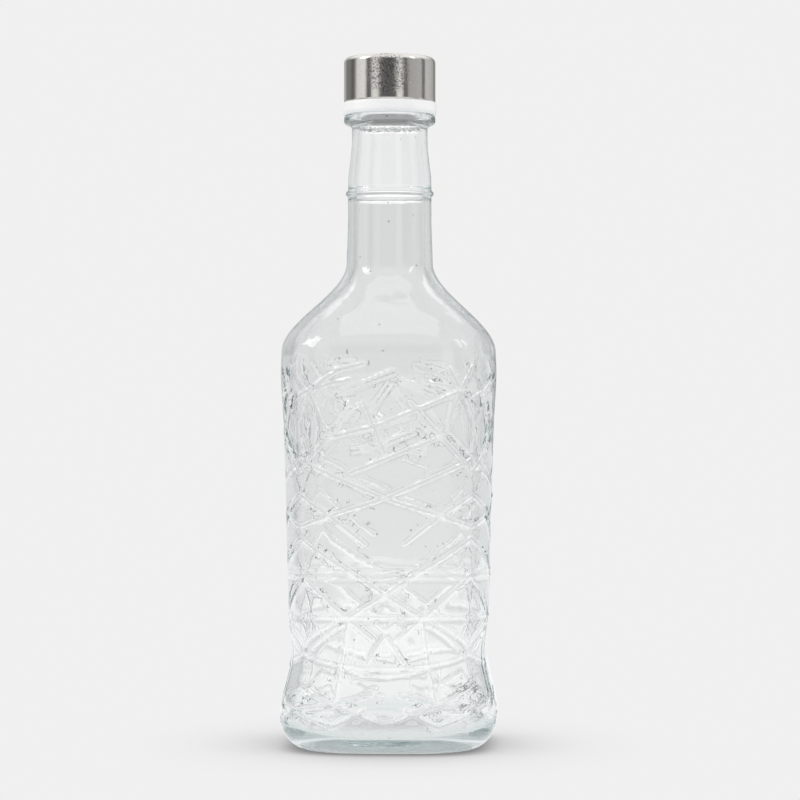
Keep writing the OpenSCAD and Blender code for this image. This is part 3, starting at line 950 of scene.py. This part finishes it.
# %% Floor
SHADOW_REACH = 0.075
NEAR, FAR_OFF = 0.30, 1.05  # metres from the bottle
floor_bm = bmesh.new()
bmesh.ops.create_grid(floor_bm, x_segments=1, y_segments=1, size=6.0)
floor = new_piece("floor", floor_bm)
paper = Finish("floor_paper")
paper.set(Base_Color=(0.80, 0.80, 0.80, 1.0), Roughness=1.0, Specular_IOR_Level=0.0)
closeness = paper.node("ShaderNodeAmbientOcclusion", {"samples": 8}, out=1, Distance=SHADOW_REACH)
seen = paper.ray("Camera")
distance = paper.distance(paper.place(), (0.0, 0.0, 0.0))
near = 1 - paper.steps(NEAR, FAR_OFF, distance)
slant = abs(paper.parts(paper.place())[1]) / distance
between = paper.steps(0.10, 0.25, slant) * (1 - paper.steps(0.2, 0.7, slant))
beside = between * paper.steps(0.25, 0.6, distance)
shadow = (1 - paper.steps(0.0, 1.0, closeness)) * (0.15 + seen * 0.57)
strength = (1 - shadow) * (1 - beside * (1 - seen) * 0.5) * (BACKDROP + near * (1 - seen) * 0.19)
glow = paper.node("ShaderNodeEmission", Strength=strength)
lit = Value(paper.tree, paper.shader.outputs[0])
joined = paper.node("ShaderNodeMixShader", _0=paper.ray("Diffuse"), _1=glow, _2=lit)
paper.feed(paper.output.inputs["Surface"], joined)
floor.data.materials.append(paper.material)
print("floor ready")


# %% [markdown]
# ## Lamps
# A large soft box overhead lights the cap. Two smaller ones, high at the left and right, put soft
# highlights on the shoulders and on the flanks of the cuts.

# %% Lamps
def softbox(name, place, aim, size, power):
    data = bpy.data.lights.new(name, "AREA")
    data.shape = "RECTANGLE"
    data.size, data.size_y = size
    data.energy = power
    lamp = bpy.data.objects.new(name, data)
    bpy.context.scene.collection.objects.link(lamp)
    lamp.location = place
    lamp.rotation_euler = (Vector(aim) - Vector(place)).to_track_quat("-Z", "Y").to_euler()
    return lamp


softbox("left_softbox", (-0.92, -0.30, 0.90), (0, 0, 0.17), (0.30, 0.45), 2.3)
softbox("right_softbox", (0.90, -0.36, 0.88), (0, 0, 0.17), (0.14, 0.40), 0.6)
softbox("top_softbox", (0.0, -0.2, 1.3), (0, 0, 0.2), (0.8, 0.8), 3.5).visible_glossy = False

# %% [markdown]
# ## Camera
# The camera stands level at half the bottle's height, a little over a metre away, and looks at the front
# from slightly to the right. Its long lens keeps the bottle's sides nearly parallel. Light that runs inside
# thick glass is followed over many bounces, because it would end as black spots otherwise.

# %% Camera
CAMERA_DISTANCE, CAMERA_HEIGHT = 1.16, 0.1438
VIEW_WIDTH = 0.335  # metres across the frame at the bottle's axis
SIDE_STEP, CAMERA_TURN = 0.0043, math.radians(2.5)
camera_data = bpy.data.cameras.new("camera")
camera_data.sensor_width = 36.0
camera_data.lens = camera_data.sensor_width * CAMERA_DISTANCE / VIEW_WIDTH
camera = bpy.data.objects.new("camera", camera_data)
bpy.context.scene.collection.objects.link(camera)
camera.location = (
    SIDE_STEP * math.cos(CAMERA_TURN) + CAMERA_DISTANCE * math.sin(CAMERA_TURN),
    SIDE_STEP * math.sin(CAMERA_TURN) - CAMERA_DISTANCE * math.cos(CAMERA_TURN),
    CAMERA_HEIGHT,
)
camera.rotation_euler = (math.pi / 2, 0, CAMERA_TURN)
bpy.context.scene.camera = camera
bpy.context.scene.view_settings.view_transform = "Standard"
GLASS_BOUNCES = 40  # light runs a long way inside the thick base
bpy.context.scene.cycles.max_bounces = GLASS_BOUNCES
bpy.context.scene.cycles.transmission_bounces = GLASS_BOUNCES
bpy.context.scene.cycles.glossy_bounces = GLASS_BOUNCES
print("lens, mm:", round(camera_data.lens, 1))
